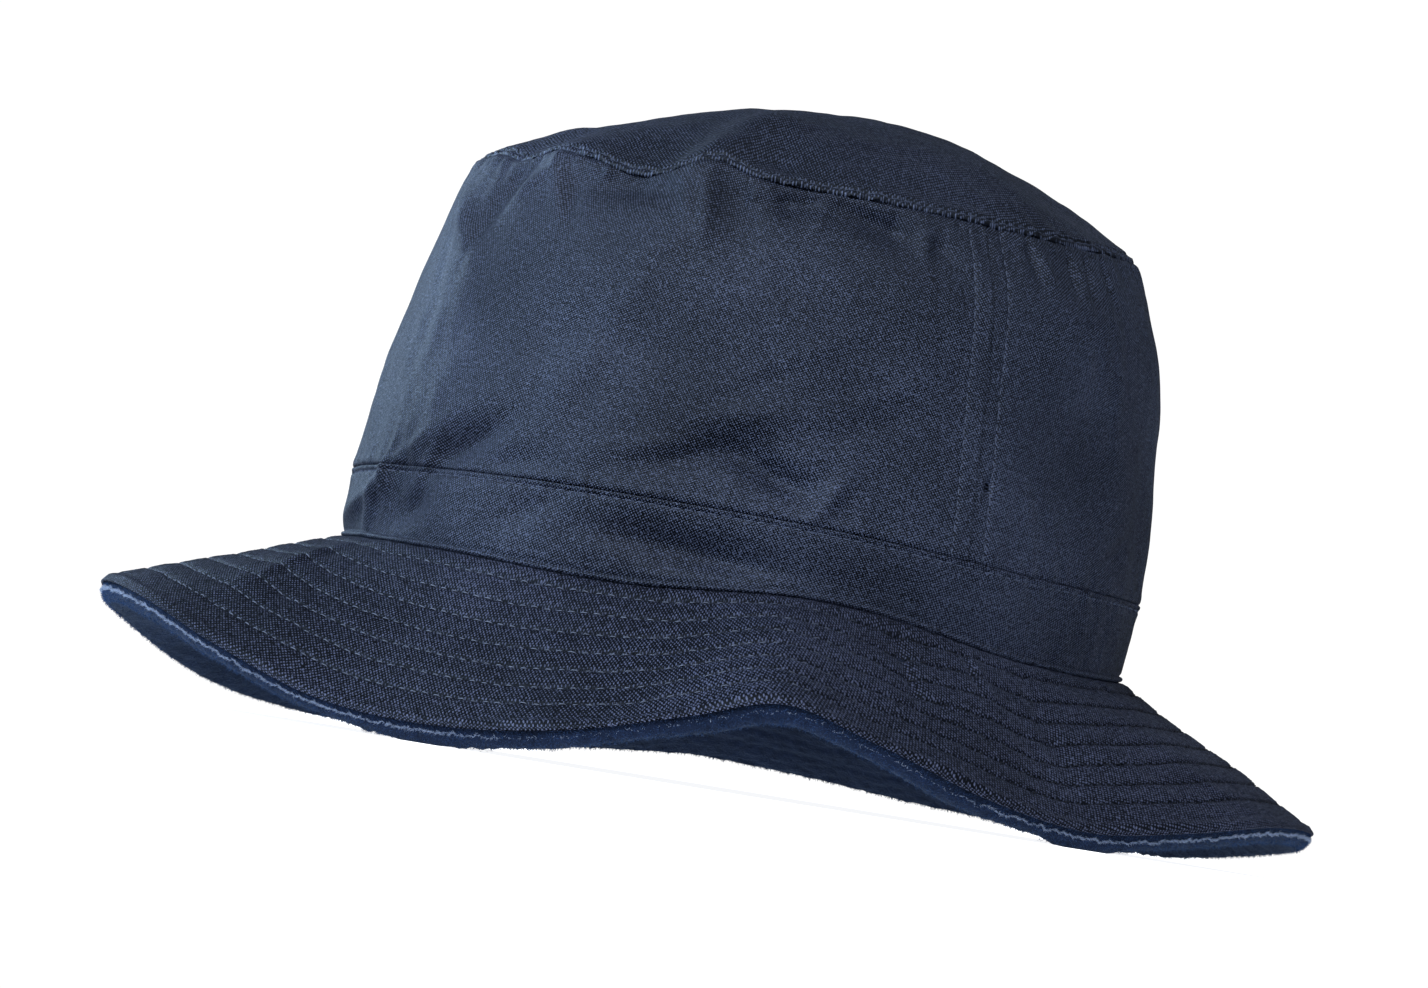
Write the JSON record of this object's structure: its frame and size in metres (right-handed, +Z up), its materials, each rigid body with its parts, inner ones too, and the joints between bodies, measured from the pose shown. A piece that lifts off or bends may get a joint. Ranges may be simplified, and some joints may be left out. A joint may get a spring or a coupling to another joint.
{
  "type": "waterproof bucket hat",
  "caption": "Navy waterproof bucket hat with a rounded crown, a sewn band and side seams, and a soft wavy brim quilted in rings over a thick pile lining",
  "frame": {"origin": "on the surface that the hat stands on, under the middle of its outline", "axes": "+Z up, -X towards the hat's front, +X along its length to the back, -Y the side that the picture shows"},
  "size_m": [0.3128, 0.2814, 0.1739],
  "materials": {
    "navy_cloth": "smooth coated twill with a soft sheen",
    "quilted_cloth": "coated twill stitched in rings",
    "pile_lining": "deep brushed pile"
  },
  "bodies": {
    "root": {"crown_top": "navy_cloth", "crown_front": "navy_cloth", "crown_back": "navy_cloth", "band": "navy_cloth", "brim_shell": "quilted_cloth", "brim_lining": "pile_lining"}
  },
  "joints": []
}
